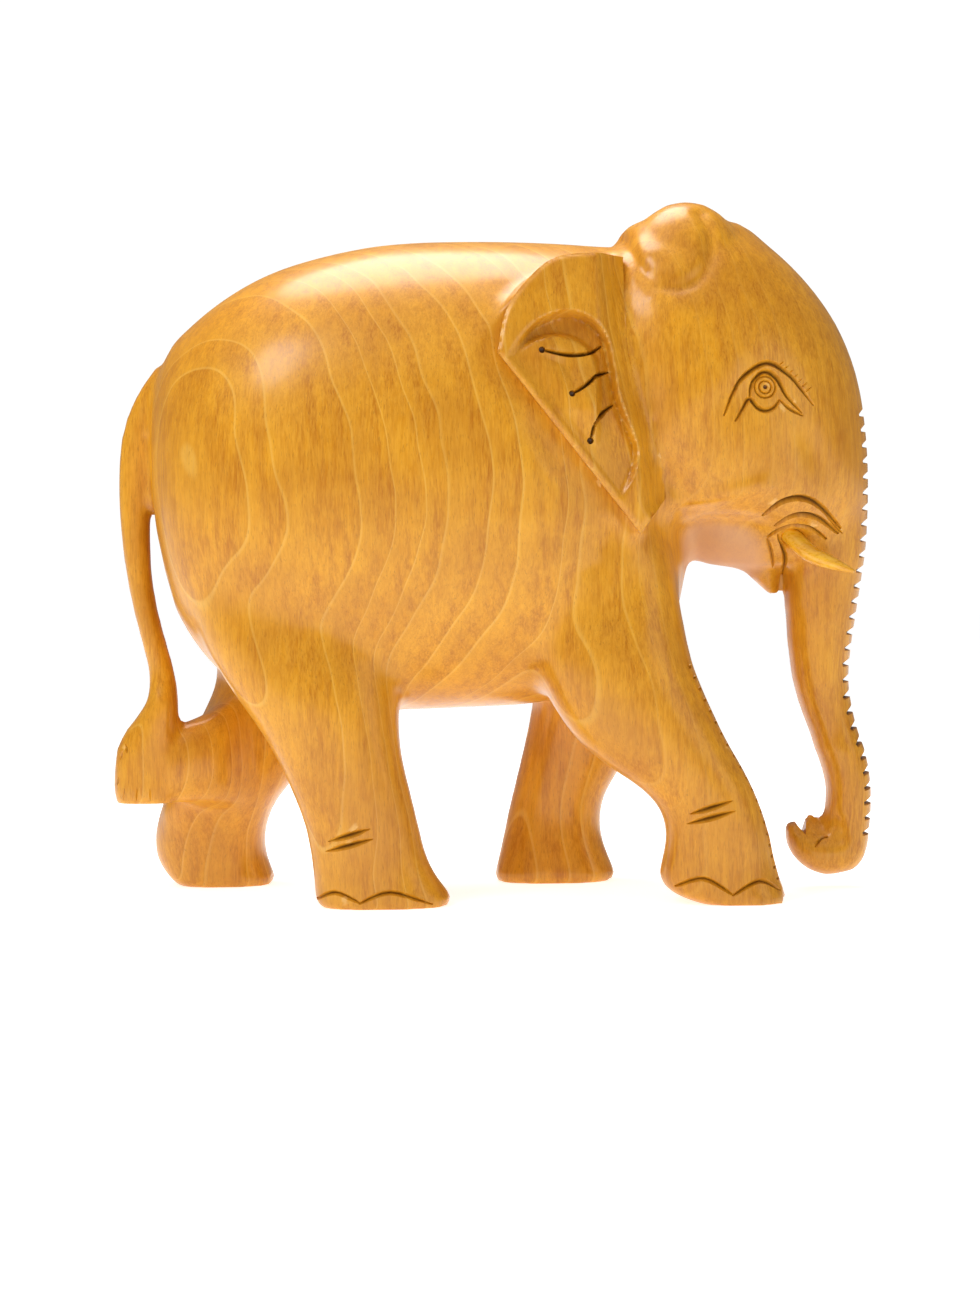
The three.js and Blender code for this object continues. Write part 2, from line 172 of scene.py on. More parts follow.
def marks_of(points):
    """How far back, up and out from the middle each point lies, in drawing units."""
    return (high.x - points[:, 0]) / unit, (points[:, 2] - low.z) / unit, np.abs(points[:, 1]) / unit


def box_mask(points, back, up, out, soft=3.0):
    """1 inside a box given in drawing units, fading to 0 over a soft border outside it."""
    mask = np.ones(len(points))
    for value, (start, end) in zip(marks_of(points), (back, up, out)):
        mask *= smoothstep(value, start - soft, start) * (1 - smoothstep(value, end, end + soft))
    return mask


body = copy_of("carved_body", "elephant_carving")
skin = body.modifiers.new("skin", "REMESH")
skin.mode = "VOXEL"
skin.voxel_size = 0.92 * unit
apply_modifiers(body)
points = coords(body.data)
mean_of = neighbours_mean(body.data)

ears = box_mask(points, (40, 70), (60, 117), (18.5, 40), 2.0)
tail = box_mask(points, (128, 150), (14, 110), (0, 9), 3.0)
tip = box_mask(points, (-5, 20), (0, 26), (0, 20), 3.0)
soles = 1 - smoothstep(marks_of(points)[1], 1.5, 4.5)
chin = box_mask(points, (14, 22), (53, 60), (0, 8), 1.5)
domes = box_mask(points, (26, 48), (108, 130), (0, 25), 3.0)
head = 0.6 * box_mask(points, (-5, 40), (62, 130), (0, 40), 5.0)
held = np.clip(ears + tail + tip + soles + chin + domes + head, 0, 1)[:, None]
sanding_strokes = 40
light_strokes = 3
for rub in range(sanding_strokes):
    give = (1 - held) * 0.5 if rub >= light_strokes else 0.5
    points = points + (mean_of(points) - points) * give
points[:, 2] = np.maximum(points[:, 2], low.z)
set_coords(body.data, points)
print(f"sanded skin: {len(body.data.vertices)} vertices")

# %% [markdown]
# ## Camera, floor and light
# The carving stands on a white sweep in a light tent, seen square from its right side through a short
# telephoto lens, from a little below half its height. The tent gives light from everywhere, a soft lamp above
# gives the back its sheen, and one high on the left models the flank. A wide floor is enough: it is bright
# all over, so no edge shows.

# %% Camera
middle = (low + high) / 2
camera = bpy.data.objects.new("camera", bpy.data.cameras.new("camera"))
bpy.context.collection.objects.link(camera)
camera.data.lens = 66.4
camera.data.sensor_width = 36
camera.location = (middle.x, -450 * unit, low.z + 57 * unit)
tilt_down = math.radians(1.58)
roll = math.radians(0.67)
camera.rotation_euler = (math.pi / 2 - tilt_down, roll, 0)
camera.data.clip_start = 0.01
bpy.context.scene.camera = camera
bpy.context.scene.view_settings.view_transform = "Standard"


# %% Lamps and tent
def soft_lamp(name, where, size, watts, tint=(1, 1, 1)):
    lamp = bpy.data.objects.new(name, bpy.data.lights.new(name, "AREA"))
    bpy.context.collection.objects.link(lamp)
    lamp.data.shape = "DISK"
    lamp.data.size = size * unit
    lamp.data.energy = watts
    lamp.data.color = tint
    lamp.location = Vector(where) * unit
    lamp.rotation_euler = (middle - lamp.location).to_track_quat("-Z", "Y").to_euler()


soft_lamp("top_lamp", (-40, 60, 420), 260, 1.45, (1.0, 0.95, 0.88))
soft_lamp("front_lamp", (-230, -260, 360), 150, 0.62, (1.0, 0.95, 0.88))
soft_lamp("side_lamp", (330, -260, 150), 240, 0.16, (1.0, 0.98, 0.95))

sun = bpy.data.objects.new("ceiling_glow", bpy.data.lights.new("ceiling_glow", "SUN"))
bpy.context.collection.objects.link(sun)
sun.data.energy = 0.45
sun.data.angle = math.radians(80)
sun.rotation_euler = (math.radians(18), math.radians(-12), 0)

tent = bpy.data.worlds.new("light_tent")
tent.use_nodes = True
bpy.context.scene.world = tent
nodes = tent.node_tree.nodes
glow = nodes["Background"]
glow.inputs["Color"].default_value = (1, 1, 1, 1)
glow.inputs["Strength"].default_value = 0.2
backdrop = nodes.new("ShaderNodeBackground")
backdrop.inputs["Strength"].default_value = 1.3
seen = nodes.new("ShaderNodeMixShader")
tent.node_tree.links.new(nodes.new("ShaderNodeLightPath").outputs["Is Camera Ray"], seen.inputs["Fac"])
tent.node_tree.links.new(glow.outputs["Background"], seen.inputs[1])
tent.node_tree.links.new(backdrop.outputs["Background"], seen.inputs[2])
tent.node_tree.links.new(seen.outputs["Shader"], nodes["World Output"].inputs["Surface"])

# %% Floor
reach = 4000 * unit
floor_mesh = bpy.data.meshes.new("floor")
corners = [(-reach, -reach, low.z), (reach, -reach, low.z), (reach, reach, low.z), (-reach, reach, low.z)]
floor_mesh.from_pydata(corners, [], [(0, 1, 2, 3)])
floor = bpy.data.objects.new("floor", floor_mesh)
bpy.context.collection.objects.link(floor)
paper = bpy.data.materials.new("white_paper")
paper.use_nodes = True
paper_shader = paper.node_tree.nodes["Principled BSDF"]
paper_shader.inputs["Base Color"].default_value = (0.9, 0.9, 0.9, 1)
paper_shader.inputs["Roughness"].default_value = 0.55
paper_shader.inputs["Emission Color"].default_value = (1, 1, 1, 1)
paper_shader.inputs["Emission Strength"].default_value = 0.75
floor_mesh.materials.append(paper)

# %% [markdown]
# ## Rubbed hollows and ridges
# Before the fine cuts, a carver models the big soft features: the outline of the two domes, the cheek, the eye
# socket, the nostril and the hollow under the jaw. Each is a stroke along a line of marks that pushes the skin
# in, or pulls it out, and fades away to the sides. Sculpt brushes would do the same by hand, but a stroke from
# a few marks can be read and changed.


# %% Strokes on the skin
def distance_to_line(points, line):
    """How far each point lies from a line of points."""
    best = np.full(len(points), 1e9)
    for a, b in zip(line[:-1], line[1:]):
        a, b = np.array(a), np.array(b)
        along = np.clip(((points - a) @ (b - a)) / max((b - a) @ (b - a), 1e-12), 0, 1)
        best = np.minimum(best, np.linalg.norm(points - (a + along[:, None] * (b - a)), axis=1))
    return best


def stroke(marks, radius, depth, sides=(-1, 1)):
    """Presses the skin in by depth along a line of marks; a negative depth raises it."""
    tree = surface_of(body)
    skin_points, out = coords(body.data), normals(body.data)
    for side in sides:
        line = [point for point, _ in on_surface(tree, marks, side, 4)]
        fade = np.exp(-((distance_to_line(skin_points, line) / (radius * unit)) ** 2))
        skin_points -= out * (fade * depth * unit)[:, None]
    set_coords(body.data, skin_points)


dome_edge = [(46.5, 121), (45.4, 118.5), (42.5, 112.5), (36.3, 110), (31.5, 113.6), (30.4, 119.5), (32, 124)]
stroke(dome_edge, 1.3, 0.75)
stroke([(39.5, 71.8), (33, 72.2), (21.5, 74.6)], 1.6, -0.7)  # edge of the jaw
stroke([(36, 66.5), (30, 67.5), (24, 67)], 3.5, 1.3)  # raw hollow under it
stroke([(40, 82), (35, 89.5), (28, 95.5)], 3.2, -0.45)  # ridge of the cheek
stroke([(23, 92), (20, 92)], 4.0, 0.45)  # eye socket
stroke([(13, 82), (10, 76), (8, 72)], 3.2, 0.5)  # between the cheek and the trunk
stroke([(49, 52), (44, 60), (40, 66)], 4.0, 0.6)  # behind the shoulder
stroke([(7.2, 12.6), (6.2, 11.2), (6.6, 9.8)], 1.3, 0.9)  # nostril
# %% [markdown]
# ## The ears
# An ear is the crispest thing on the carving: a flat, slightly turned leaf with a straight lower edge, hollowed
# inside up to a rounded rim, with a low lobe left standing in the hollow. The sanded skin is too coarse for it.
# So each ear is made as a fine height field, where every point's height is worked out from its distance to
# the rim, the lobe and the fold. It is trimmed to the ear's outline and joined to the head with a boolean.


# %% Outlines of the ear
def closed_line(*runs):
    """One outline from several runs of marks, each a smooth line of its own."""
    line = []
    for run in runs:
        smooth = fair_line(run, 7) if len(run) > 2 else run
        line.extend(smooth if not line else smooth[1:])
    return np.array([(p[0], p[1]) for p in line[:-1]])


ear_top = [(46.2, 116), (57.5, 115.3), (63.2, 111.4), (67.4, 105.4), (69.0, 98)]
ear_fold = [(39.2, 72.5), (40.2, 80), (42.8, 87.5), (45.6, 98), (46.2, 107), (46.2, 116)]
ear_corner, ear_tip = (69.0, 98), (44.2, 66.2)
ear_outline = closed_line(ear_top, [ear_corner, ear_tip], [ear_tip, ear_fold[0]], ear_fold)
rim_left = [(67.4, 97.2), (65.6, 100), (62, 103.6), (57, 105.4), (52.6, 104.2), (49.6, 100.6), (48.4, 95)]
rim_right = [(48.4, 95), (47.6, 90), (45.6, 84.5), (44.4, 80.5), (45.4, 76), (47.6, 72)]
hollow_outline = closed_line(rim_left, rim_right, [(47.6, 72), (67.4, 97.2)])
lobe_top = [(66.2, 97.2), (63.6, 100.0), (59, 101.6), (54.6, 100.6), (51.6, 97.4), (50.8, 93)]
lobe_outline = closed_line(lobe_top, [(50.8, 93), (51.5, 80)], [(51.5, 80), (66.2, 97.2)])


def inside(grid, outline):
    """Which grid points lie inside a closed outline."""
    x, y = grid[:, 0], grid[:, 1]
    hit = np.zeros(len(grid), dtype=bool)
    for (x0, y0), (x1, y1) in zip(outline, np.roll(outline, -1, axis=0)):
        crosses = (y0 > y) != (y1 > y)
        with np.errstate(divide="ignore", invalid="ignore"):
            hit ^= crosses & (x < (x1 - x0) * (y - y0) / (y1 - y0) + x0)
    return hit


def depth_inside(grid, outline):
    """How far inside an outline each grid point lies, negative outside."""
    away = distance_to_line(grid, [*outline, outline[0]])
    return np.where(inside(grid, outline), away, -away)


# %% The ear's height field
def ear_face(back, up):
    """The plane the ear's rim lies in, turned and leaned a little, as a distance from the middle."""
    turned = 29.9 - 0.15 * (68.8 - back)
    leaned = 0.1 * np.maximum(up - 88, 0) ** 1.15 + 0.03 * np.maximum(80 - up, 0)
    return turned - leaned


def ear_height(grid, fold_heights):
    """How far out from the middle plane the ear's outer face stands, in drawing units."""
    back, up = grid.T
    from_fold = distance_to_line(grid, fair_line(ear_fold, 6))
    meet = np.interp(up, *fold_heights)
    join = 1 - smoothstep(from_fold, -1.0, 5.5)
    face = ear_face(back, up)
    face = face + (meet - face) * join
    rounding = 0.55 * (1 - smoothstep(depth_inside(grid, ear_outline), 0, 1.0)) ** 2 * (1 - join)
    from_edge = distance_to_line(grid, [ear_corner, ear_tip])
    floor = 0.5 + 3.3 * smoothstep(from_edge, 0, 13)
    lobe = 2.2 * smoothstep(depth_inside(grid, lobe_outline), -0.2, 0.9) * smoothstep(from_edge, 2, 8)
    lobe -= 1.2 * smoothstep(depth_inside(grid, lobe_outline), 2.0, 7.0) * smoothstep(from_edge, 2, 8)
    wall = smoothstep(depth_inside(grid, hollow_outline), -0.25, 1.0)
    dimple = 1.3 * np.exp(-(((back - 42.6) / 1.5) ** 2 + ((up - 80.5) / 3.8) ** 2))
    return face - rounding - dimple - wall * np.maximum(floor - lobe, 0.3)


def make_object(name, vertices, faces):
    mesh = bpy.data.meshes.new(name)
    mesh.from_pydata([tuple(v) for v in vertices], [], faces)
    obj = bpy.data.objects.new(name, mesh)
    bpy.context.collection.objects.link(obj)
    return obj


def to_frame(back, up, out, side):
    return Vector((high.x - back * unit, side * out * unit, low.z + up * unit))


def face_outwards(obj):
    work = bmesh.new()
    work.from_mesh(obj.data)
    bmesh.ops.recalc_face_normals(work, faces=work.faces)
    work.to_mesh(obj.data)
    work.free()


def heights_along_fold(side):
    """The head's own height along the fold, so that the ear runs into it without a step."""
    tree = surface_of(body)
    marks = fair_line(ear_fold, 4)
    found = [(up, abs(mark(tree, back - 0.8, up, side)[0].y) / unit) for back, up in marks if up < 115]
    return [up for up, _ in found], [height for _, height in found]


def ear_slab(side):
    """A block whose outer face is the height field."""
    step = 0.4
    backs = np.arange(37, 72, step)
    ups = np.arange(64, 119, step)
    grid = np.array([(back, up) for up in ups for back in backs])
    heights = ear_height(grid, heights_along_fold(side))
    wide, tall = len(backs), len(ups)
    outer = [to_frame(back, up, height, side) for (back, up), height in zip(grid, heights)]
    inner = [to_frame(back, up, 12, side) for back, up in grid]
    count = len(grid)
    faces = []
    for row in range(tall - 1):
        for column in range(wide - 1):
            a = row * wide + column
            faces.append((a, a + 1, a + 1 + wide, a + wide))
    faces.extend([tuple(count + i for i in reversed(face)) for face in list(faces)])
    border = [*range(wide), *[r * wide + wide - 1 for r in range(1, tall)]]
    border += [(tall - 1) * wide + c for c in range(wide - 2, -1, -1)]
    border += [r * wide for r in range(tall - 2, 0, -1)]
    for a, b in zip(border, border[1:] + border[:1]):
        faces.append((b, a, count + a, count + b))
    slab = make_object("ear_slab", outer + inner, faces)
    face_outwards(slab)
    return slab


def prism(name, outline, inner, outer, side):
    """An outline of marks pushed through from one depth to another."""
    count = len(outline)
    vertices = [to_frame(back, up, out, side) for out in (inner, outer) for back, up in outline]
    faces = [tuple(range(count)), tuple(range(2 * count - 1, count - 1, -1))]
    faces += [(i, (i + 1) % count, count + (i + 1) % count, count + i) for i in range(count)]
    obj = make_object(name, vertices, faces)
    face_outwards(obj)
    return obj


def boolean(target, tool, operation):
    """Joins, cuts or trims target with tool, then throws tool away."""
    step = target.modifiers.new("boolean", "BOOLEAN")
    step.operation = operation
    step.solver = "MANIFOLD"
    step.object = tool
    apply_modifiers(target)
    mesh = tool.data
    bpy.data.objects.remove(tool)
    bpy.data.meshes.remove(mesh)


def shrunk(outline, amount):
    centre = outline.mean(axis=0)
    reach = np.linalg.norm(outline - centre, axis=1, keepdims=True)
    return centre + (outline - centre) * (1 - amount / reach)


# %% Set the flank back from the ear
ear_proud = 2.3
free_edge = [*fair_line(ear_top, 6), ear_tip]
points = coords(body.data)
back, up, out = marks_of(points)
grid = np.stack([back, up], axis=1)
near = (back > 38) & (back < 82) & (up > 54) & (out > 17)
from_edge = np.full(len(points), 50.0)
from_edge[near] = distance_to_line(grid[near], free_edge)
shoulder = smoothstep(back, 40.5, 46) * (1 - smoothstep(up, 104, 112))
flank_rise = 0.055 * from_edge**2
head_free = 12 * (1 - smoothstep(back, 40, 43))
limit = ear_face(back, up) - ear_proud * shoulder + flank_rise + head_free
pressed = np.minimum(out, limit)
points[:, 1] = np.where(near & (from_edge < 11), np.sign(points[:, 1]) * pressed * unit, points[:, 1])
rubbed = np.where(near & (from_edge < 9), 0.5, 0.0)[:, None]
for _ in range(6):
    points = points + (mean_of(points) - points) * rubbed
set_coords(body.data, points)

# %% Cut a pocket and set the ears in
for side in (-1, 1):
    leaf = ear_slab(side)
    boolean(body, prism("ear_pocket", shrunk(ear_outline, 0.08), 17, 40, side), "DIFFERENCE")
    boolean(leaf, prism("ear_outline", ear_outline, 14, 40, side), "INTERSECT")
    boolean(body, leaf, "UNION")
print(f"with ears: {len(body.data.vertices)} vertices")

# %% [markdown]
# ## Knife cuts
# The lines on the carving are V cuts made with a knife: they start at nothing, reach their depth in the middle
# and run out again. A cut here is a three-sided wedge swept along marks on the skin, its ridge down in the
# wood. All wedges are joined into one tool, which is then taken out of the carving in a single boolean, so
# even a very fine line is real geometry and casts a real shadow. Bump alone would not change the outline of
# the notched trunk.

# %% Wedges along a line
knife = []


def smooth_normal(tree, point, normal, reach=0.9):
    """The mean normal around a point, so that a cut doesn't wobble from face to face."""
    total = normal.copy()
    for x, z in ((reach, 0), (-reach, 0), (0, reach), (0, -reach)):
        near = tree.find_nearest(point + Vector((x, 0, z)) * unit)
        total += near[1]
    return total.normalized()


def wedge(line, width, depth, ends=0.5, lean=0.0, closed=False, lift=0.5):
    """A V cut along points and normals. ends is how blunt it starts, lean tips its ridge to one side."""
    count = len(line)
    vertices, faces = [], []
    for i, (point, normal) in enumerate(line):
        before = line[(i - 1) % count if closed else max(i - 1, 0)][0]
        after = line[(i + 1) % count if closed else min(i + 1, count - 1)][0]
        across = normal.cross(after - before).normalized()
        share = 1.0 if closed else max(math.sin(math.pi * (i + 0.12) / (count - 1 + 0.24)), 0.06) ** ends
        half, deep = 0.5 * width * unit * share, depth * unit * share
        top = normal * lift * unit
        flare = half * (1 + lift * unit / max(deep, 1e-6))
        flare = min(flare, half + 1.2 * lift * unit)
        vertices += [
            point + top + across * flare,
            point + top - across * flare,
            point - normal * deep + across * lean * half,
        ]
    for i in range(count if closed else count - 1):
        a, b = 3 * i, 3 * ((i + 1) % count)
        for j in range(3):
            k = (j + 1) % 3
            faces.append((a + j, a + k, b + k, b + j))
    if not closed:
        faces += [(2, 1, 0), (3 * count - 3, 3 * count - 2, 3 * count - 1)]
    obj = make_object("wedge", vertices, faces)
    face_outwards(obj)
    knife.append(obj)


def cut(marks, width, depth, sides=(-1, 1), steps=5, **shape):
    """A V cut along marks, on one side of the elephant or on both."""
    for side in sides:
        line = on_surface(before_cuts, marks, side, steps)
        line = [(point, smooth_normal(before_cuts, point, normal)) for point, normal in line]
        wedge(line, width, depth, **shape)


def drill(back, up, radius, depth, sides=(-1, 1)):
    """A small round hole with a conical bottom, as the tip of a drill leaves it."""
    for side in sides:
        point, normal = mark(before_cuts, back, up, side)
        normal = smooth_normal(before_cuts, point, normal)
        turn = normal.to_track_quat("Z", "Y").to_matrix()
        corners = 14
        vertices = []
        for height, share in ((0.6, 1.0), (-depth * 0.6, 0.92)):
            for i in range(corners):
                angle = 2 * math.pi * i / corners
                across = Vector((math.cos(angle) * radius * share, math.sin(angle) * radius * share, height))
                vertices.append(point + turn @ across * unit)
        vertices.append(point + turn @ Vector((0, 0, -depth)) * unit)
        faces = [tuple(range(corners))]
        for i in range(corners):
            j = (i + 1) % corners
            faces += [(i, j, corners + j, corners + i), (corners + i, corners + j, 2 * corners)]
        obj = make_object("drill", vertices, faces)
        face_outwards(obj)
        knife.append(obj)


def ring(back, up, radius, width, depth, sides=(-1, 1)):
    """A round V cut drawn on the side."""
    turns = 22
    for side in sides:
        line = []
        for i in range(turns):
            angle = 2 * math.pi * i / turns
            spot = (back + radius * math.cos(angle), up + radius * math.sin(angle))
            point, normal = mark(before_cuts, *spot, side)
            line.append((point, smooth_normal(before_cuts, point, normal)))
        wedge(line, width, depth, closed=True, lift=0.25)


before_cuts = surface_of(body)

# %% [markdown]
# ### Eyes, brows and ears
# The eye is a pupil drilled in two ringed cuts, between two lids that meet in long corners, with a brow line
# arched over them. The ear's hollow has three slits, each ending in a drilled dot where the knife was stopped.

# %% Eyes and ears
eye_back, eye_up = 21.4, 92.0
drill(eye_back, eye_up, 0.45, 0.8)
ring(eye_back, eye_up, 1.1, 0.55, 0.4)
ring(eye_back, eye_up, 1.9, 0.6, 0.45)
lower_lid = [(27, 85.8), (25.6, 88), (24.3, 89.9), (22.9, 88.4), (21.4, 87.8), (19.8, 88.4), (18.8, 89.8)]
cut(lower_lid, 1.15, 0.8, ends=0.35)
upper_lid = [(24.3, 89.9), (23.7, 92.8), (21.5, 94.7), (19.2, 93.5), (17.4, 90.4), (14.6, 87.4)]
cut(upper_lid, 1.2, 0.85, ends=0.4)
brow = [(29, 86.8), (27.3, 90.8), (25.2, 93.9), (21, 96.3), (17, 94.3), (14.4, 91.4), (12.4, 88.8)]
cut(brow, 1.25, 0.85, ends=0.4)
cut([(18.8, 89.8), (17, 88.2), (14.4, 86.9)], 0.9, 0.6, ends=0.4)
for lash in range(7):
    share = lash / 6
    root = (19.2 - 5.2 * share, 95.6 - 4.4 * share)
    cut([root, (root[0] - 1.3, root[1] + 1.0)], 0.4, 0.22, steps=3)
for marks in (
    [(61.2, 98.4), (56.5, 97.6), (53, 98), (50.6, 99.4)],
    [(56, 90.7), (53.6, 92.2), (51.2, 94.2), (49.4, 94.8)],
    [(52.9, 82.4), (52, 85.2), (50.4, 87.6), (48.7, 88.9)],
):
    cut(marks, 1.05, 1.1, ends=0.3)
    drill(*marks[0], 0.62, 1.3)

# %% [markdown]
# ### Folds over the tusks and the mouth
# Two folds of skin arch over each tusk and a third frames its root. Below them a long cut parts the lower lip
# from the trunk.

# %% Folds and mouth
cut([(21.6, 69.2), (18.4, 71.6), (14.6, 72.3), (10.9, 70.8), (6.6, 66.9)], 1.45, 0.95, ends=0.35)
cut([(19.2, 67.4), (16.6, 69), (14, 69.4), (10.8, 68.6), (7.0, 66)], 1.35, 0.9, ends=0.35)
cut([(20.4, 65.4), (18, 66.9), (15.2, 67.5), (12, 66.8), (9.2, 65)], 1.15, 0.8, ends=0.35)
cut([(9.8, 69.6), (8, 67.6), (6.2, 66)], 0.6, 0.4)
cut([(20.4, 65.4), (19.4, 63), (18.6, 60)], 0.9, 0.6)
cut([(18.4, 66), (16.8, 62.5), (16.4, 58.6)], 1.1, 0.8)

# %% [markdown]
# ### The trunk's tip
# A gap parts the finger at the very tip from the lip behind it. It goes right through from side to side, so it
# is a prism drawn in outline and not a wedge laid on the skin.


# %% The trunk's tip
def through_cut(marks, half_width=12):
    """A prism through the carving from side to side, drawn as an outline of marks."""
    obj = prism("through_cut", np.array(marks), -half_width, half_width, 1)
    knife.append(obj)


through_cut([(15.2, 14.5), (14.1, 12.0), (12.7, 10.3), (12.35, 12.5), (12.2, 15.5)])
cut([(11.2, 8.1), (9.9, 9.7), (8.6, 9.9)], 0.8, 0.5)

# %% [markdown]
# ### Feet and legs
# Two slanting nicks cross each shin, and scalloped lines over each sole stand for the toenails.


# %% Nicks and nails
legs = [
    (-1, 96.2, 13.4, [(102.6, 1.6), (99, 3.2), (94.5, 1.4)], [(94.7, 1.2), (89, 3.2), (81.6, 0.8)]),
    (-1, 32.2, 17.6, [(38.6, 3.4), (33.6, 5.0), (28.4, 2.0)], [(28.6, 1.9), (23.6, 4.4), (19.6, 2.4)]),
    (1, 124.5, 14.0, [(131.5, 1.6), (127, 3.2), (122.5, 1.4)], [(122.7, 1.2), (118, 3.2), (113.6, 0.9)]),
    (1, 59.5, 15.0, [(69.3, 1.4), (65, 3.2), (60, 1.4)], [(60.2, 1.2), (55, 3.2), (48.8, 0.9)]),
]
for side, shin_back, shin_up, first_nail, second_nail in legs:
    for rise, length in ((0, 7.6), (-1.8, 8.6)):
        start = (shin_back + length / 2, shin_up + rise - 1.1)
        end = (shin_back - length / 2, shin_up + rise + 1.2)
        cut([start, end], 1.3, 0.85, sides=(side,), steps=9, ends=0.7)
    cut(first_nail, 1.0, 0.7, sides=(side,), ends=0.4)
    cut(second_nail, 1.0, 0.7, sides=(side,), ends=0.4)

# %% [markdown]
# ### The notched trunk
# The front of the trunk is stepped with notches, as the folds of its skin. The carver set a blade level every
# three millimetres or so and chipped down to it, so each notch has one level side and one slanting side. They
# start between the eyes and follow the trunk round its bend, getting closer where it turns under.


# %% Notches down the trunk
def notch(up, deep, open_width, fall):
    """A level cut across the front at a height, running round until the surface has fallen back by fall."""
    start = Vector((high.x + 20 * unit, 0, low.z + up * unit))
    front, facing, _, _ = before_cuts.ray_cast(start, Vector((-1, 0, 0)))
    facing = Vector((facing.x, 0, facing.z)).normalized()
    down = Vector((facing.z, 0, -facing.x))
    reach = 0.5
    while reach < 9:
        spot = front + Vector((0, reach * unit, 0))
        side_point = before_cuts.ray_cast(spot + facing * 9 * unit, -facing)[0]
        if side_point is None or (front - side_point).dot(facing) > fall * unit:
            break
        reach += 0.25
    line = []
    for i in range(11):
        out = (i / 5 - 1) * (reach - 0.25)
        spot = front + Vector((0, out * unit, 0)) + down * 0.7 * abs(i / 5 - 1) ** 3 * unit
        point, normal, _, _ = before_cuts.ray_cast(spot + facing * 9 * unit, -facing)
        if point is not None:
            line.append((point, (normal + facing).normalized()))
    wedge(line, open_width, deep, ends=0.28, lean=-0.95, lift=0.6)
    return facing


notch_pitch = 2.9
notch_depth = 1.15
notch_opening = 1.5
notch_fall = 1.9
up = 88.7
lowest_notch = 9.5
count = 0
while up > lowest_notch:
    facing = notch(up, notch_depth, notch_opening, notch_fall)
    up -= notch_pitch * max(facing.x, 0.6)
    count += 1
print(f"{count} notches down the trunk")

# %% [markdown]
# ### Small nicks along edges
# The same blade left a row of fine nicks down the front edge of each front leg, and a few hairs on the tuft.


# %% Nicks on the legs and tuft
def edge_nick(back_guess, up, side, out, size):
    """A tiny notch on the foremost edge of a leg at a height and a distance from the middle."""
    start = Vector((high.x - (back_guess - 25) * unit, side * out * unit, low.z + up * unit))
    point, normal, _, _ = before_cuts.ray_cast(start, Vector((-1, 0, 0)))
    if point is None or abs((high.x - point.x) / unit - back_guess) > 9:
        return
    line = []
    for i in range(5):
        spot = point + Vector((0, (i / 4 * 2 - 1) * 1.1 * unit, 0))
        near, facing, _, _ = before_cuts.find_nearest(spot)
        line.append((near, facing))
    wedge(line, 0.8 * size, 0.5 * size, ends=0.5, lean=-0.5, lift=0.3)


nicks_on_a_leg = 20
for side, foot_back, hip_back in ((-1, 19.5, 33.5), (1, 46.5, 36.0)):
    for i in range(nicks_on_a_leg):
        share = i / (nicks_on_a_leg - 1)
        up = 4.5 + 38 * share
        edge_nick(foot_back + (hip_back - foot_back) * share, up, side, 20.5, 1.0)
hairs = [
    [(139.9, 25.7), (139.3, 27.6)],
    [(138.5, 27.0), (138.8, 28.7)],
    [(140.6, 21.0), (140.2, 22.4)],
]
for hair in hairs:
    cut(hair, 0.75, 0.5, steps=3)
for i in range(3):
    cut([(139.4 - 2.6 * i, 18.2), (139 - 2.4 * i, 20.4)], 0.4, 0.2, steps=4)

# %% [markdown]
# ### Taking the cuts out
# The wedges are joined first, because some of them cross, and then leave the wood together. Afterwards every
# vertex is measured against the skin before the cuts: the distance is kept on the mesh as cut_depth, and the
# wood material darkens the cuts with it, as stain and painted shade.

# %% Cut, and remember how deep
tool = knife[0]
for other in knife[1:]:
    boolean(tool, other, "UNION")
print(f"{len(knife)} wedges joined into a tool of {len(tool.data.polygons)} faces")
boolean(body, tool, "DIFFERENCE")


def keep_on_mesh(mesh, name, values):
    attribute = mesh.attributes.new(name, "FLOAT", "POINT")
    attribute.data.foreach_set("value", np.asarray(values, dtype=np.float32))


deep = []
for vertex in body.data.vertices:
    nearest = before_cuts.find_nearest(vertex.co)
    deep.append(nearest[3] / unit)
keep_on_mesh(body.data, "cut_depth", deep)
skin_points = coords(body.data)
chin_centre = to_frame(29, 64, 0, 1)
spread = np.array([11.5, 15.5, 8.8]) * unit
away = np.linalg.norm((skin_points - np.array(chin_centre)) / spread, axis=1)
keep_on_mesh(body.data, "raw_wood", 1 - smoothstep(away, 0.8, 1.08))
body.data.shade_smooth()
body.data.set_sharp_from_angle(angle=math.radians(38))
triangles = sum(len(face.vertices) - 2 for face in body.data.polygons)
print(f"carved: {len(body.data.vertices)} vertices, {triangles} triangles")

# %% [markdown]
# ## Building materials from nodes
# Wood colour comes from three things at once: the growth rings that the cut surface crosses, the fine fibres
# that run along the trunk of the tree, and small pores. Each is its own node group with named inputs, so that
# the body and the tusks can share one and still look different. An image of wood would be quicker, but it
# would be wrapped round the shape, while these patterns run through the block as they do in timber.


# %% Small helpers for nodes
def shade(code):
    """A linear colour from the hex code a paint maker would give."""
    channels = [int(code[i : i + 2], 16) / 255 for i in (1, 3, 5)]
    return (*(c / 12.92 if c <= 0.04045 else ((c + 0.055) / 1.055) ** 2.4 for c in channels), 1)


def add_node(tree, kind, links=None, settings=None, **values):
    """A node, with its properties from settings, numbers from values and incoming links by socket name."""
    node = tree.nodes.new("ShaderNode" + kind)
    for name, value in (settings or {}).items():
        setattr(node, name, value)
    for name, value in values.items():
        node.inputs[name.replace("_", " ")].default_value = value
    for name, source in (links or {}).items():
        tree.links.new(source, node.inputs[name])
    return node


def math_node(tree, operation, *terms):
    node = tree.nodes.new("ShaderNodeMath")
    node.operation = operation
    for socket, term in zip(node.inputs, terms):
        if isinstance(term, (int, float)):
            socket.default_value = term
        else:
            tree.links.new(term, socket)
    return node.outputs[0]


